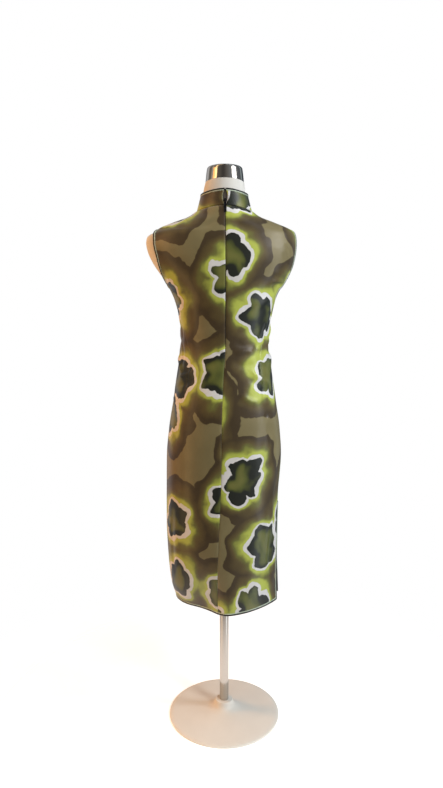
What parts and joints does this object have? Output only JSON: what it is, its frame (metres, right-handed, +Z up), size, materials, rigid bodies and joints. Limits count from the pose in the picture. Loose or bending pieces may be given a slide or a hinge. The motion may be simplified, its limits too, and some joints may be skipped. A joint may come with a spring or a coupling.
{
  "type": "qipao on a limbless dress form",
  "caption": "Sleeveless midi qipao with stand collar, side slits and centre-back zip, bound in dark satin, standing on a smooth limbless dress form with a round base.",
  "frame": {"origin": "middle of the stand base's underside, on the floor", "axes": "+Z up; the wearer faces -Y, so the zip is on +Y; +X is the wearer's left"},
  "size_m": [0.3901, 0.31, 1.5062],
  "materials": {
    "printed_satin": "medium-sheen printed satin, olive and khaki",
    "binding_satin": "black-green satin bias binding",
    "piping_satin": "pale sage satin piping",
    "zip_tape": "woven polyester tape",
    "zip_metal": "blackened slate enamel",
    "jersey": "matt cream cotton jersey",
    "chrome": "polished",
    "powder_coat": "satin off-white powder coat"
  },
  "bodies": {
    "qipao_on_form": {"back_left": "printed_satin", "back_right": "printed_satin", "front": "printed_satin", "collar_left": "printed_satin", "collar_right": "printed_satin", "collar_left_binding": "binding_satin", "collar_left_piping": "piping_satin", "collar_right_binding": "binding_satin", "collar_right_piping": "piping_satin", "armhole_left_binding": "binding_satin", "armhole_left_piping": "piping_satin", "armhole_right_binding": "binding_satin", "armhole_right_piping": "piping_satin", "hem_back_binding": "binding_satin", "hem_back_piping": "piping_satin", "hem_front_binding": "binding_satin", "hem_front_piping": "piping_satin", "zip_tape": "zip_tape", "collar_underlap": "zip_tape", "collar_hook": "zip_metal", "zip_slider": "zip_metal", "form_torso": "jersey", "form_cap": "chrome", "form_pole": "chrome", "form_base": "powder_coat"},
    "zip_pull_tab": {"zip_pull": "zip_metal"}
  },
  "joints": [
    {"name": "zip_pull_swing", "type": "hinge", "parent": "qipao_on_form", "child": "zip_pull_tab", "pos_m": [0, 0.06212, 1.41258], "axis": [1, 0, 0], "range_deg": [0, 150]}
  ]
}
